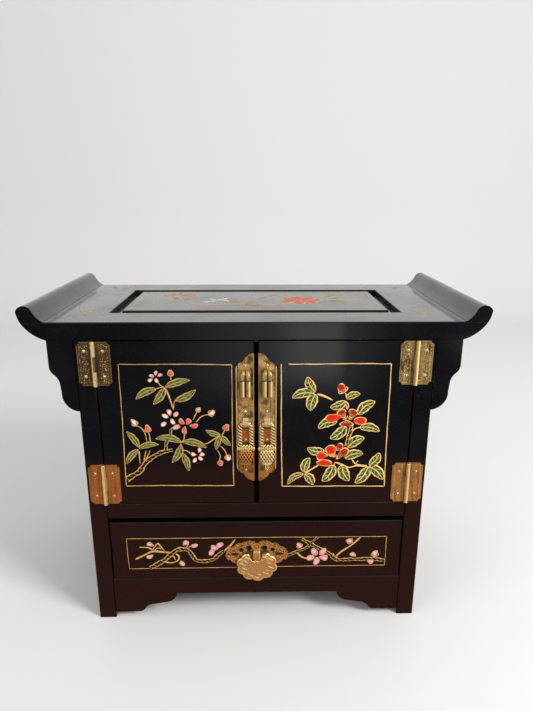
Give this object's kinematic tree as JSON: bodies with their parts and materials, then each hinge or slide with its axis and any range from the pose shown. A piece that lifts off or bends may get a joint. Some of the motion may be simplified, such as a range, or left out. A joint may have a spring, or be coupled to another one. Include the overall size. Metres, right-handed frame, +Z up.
{
  "type": "lacquered jewellery cabinet",
  "caption": "Black lacquer jewellery cabinet like a small altar table, with a scroll-ended top, a pair of brass-hinged doors over a lined cupboard, and a drawer below.",
  "frame": {"origin": "centre of the object's footprint, on the surface it stands on", "axes": "+X to the right of a person facing the doors, -Y towards that person, +Z up"},
  "size_m": [0.3352, 0.1664, 0.2626],
  "materials": {
    "lacquer": "high gloss black lacquer with fine wear and painted gold ornament",
    "inner_boards": "satin dark lacquer",
    "brass": "stamped and engraved, warm, lightly worn",
    "lining": "short pile velvet"
  },
  "bodies": {
    "case": {"back_lining": "lining", "back_panel": "lacquer", "cupboard_floor": "inner_boards", "door_stop": "lacquer", "drawer_floor": "inner_boards", "floor_lining": "lining", "front_apron": "lacquer", "left_case_nails": "brass", "left_front_spandrel": "lacquer", "left_lower_case_leaf": "brass", "left_lower_pin": "brass", "left_rear_spandrel": "lacquer", "left_scroll": "lacquer", "left_side_board": "lacquer", "left_upper_case_leaf": "brass", "left_upper_pin": "brass", "middle_rail": "lacquer", "right_case_nails": "brass", "right_front_spandrel": "lacquer", "right_lower_case_leaf": "brass", "right_lower_pin": "brass", "right_rear_spandrel": "lacquer", "right_scroll": "lacquer", "right_side_board": "lacquer", "right_upper_case_leaf": "brass", "right_upper_pin": "brass", "shelf": "inner_boards", "shelf_lining": "lining", "top_frame": "lacquer", "top_panel": "lacquer"},
    "left_door": {"left_door": "lacquer", "left_upper_door_leaf": "brass", "left_lower_door_leaf": "brass", "left_door_nails": "brass", "left_door_plate": "brass", "left_lock_staple": "brass", "left_pull_staple": "brass"},
    "right_door": {"right_door": "lacquer", "right_upper_door_leaf": "brass", "right_lower_door_leaf": "brass", "right_door_nails": "brass", "right_door_plate": "brass", "right_lock_staple": "brass", "right_pull_staple": "brass"},
    "left_pull": {"left_door_pull": "brass"},
    "right_pull": {"right_door_pull": "brass"},
    "drawer": {"drawer_front": "lacquer", "left_drawer_side": "inner_boards", "right_drawer_side": "inner_boards", "drawer_back": "inner_boards", "drawer_bottom": "inner_boards", "drawer_lining": "lining", "drawer_plate": "brass", "drawer_nails": "brass", "drawer_staple": "brass"},
    "drawer_pull": {"drawer_pull": "brass"}
  },
  "joints": [
    {"name": "left_door_hinge", "type": "hinge", "parent": "case", "child": "left_door", "pos_m": [-0.1161, -0.0795, 0.1719], "axis": [0, 0, -1], "range_deg": [0, 160]},
    {"name": "right_door_hinge", "type": "hinge", "parent": "case", "child": "right_door", "pos_m": [0.1161, -0.0795, 0.1719], "axis": [0, 0, 1], "range_deg": [0, 160]},
    {"name": "drawer_slide", "type": "slide", "parent": "case", "child": "drawer", "axis": [0, -1, 0], "range_m": [0, 0.11]},
    {"name": "left_pull_swing", "type": "hinge", "parent": "left_door", "child": "left_pull", "pos_m": [-0.008, -0.0802, 0.1738], "axis": [-1, 0, 0], "range_deg": [0, 95]},
    {"name": "right_pull_swing", "type": "hinge", "parent": "right_door", "child": "right_pull", "pos_m": [0.008, -0.0802, 0.1738], "axis": [-1, 0, 0], "range_deg": [0, 95]},
    {"name": "drawer_pull_swing", "type": "hinge", "parent": "drawer", "child": "drawer_pull", "pos_m": [0, -0.08, 0.06235], "axis": [-1, 0, 0], "range_deg": [0, 95]}
  ]
}
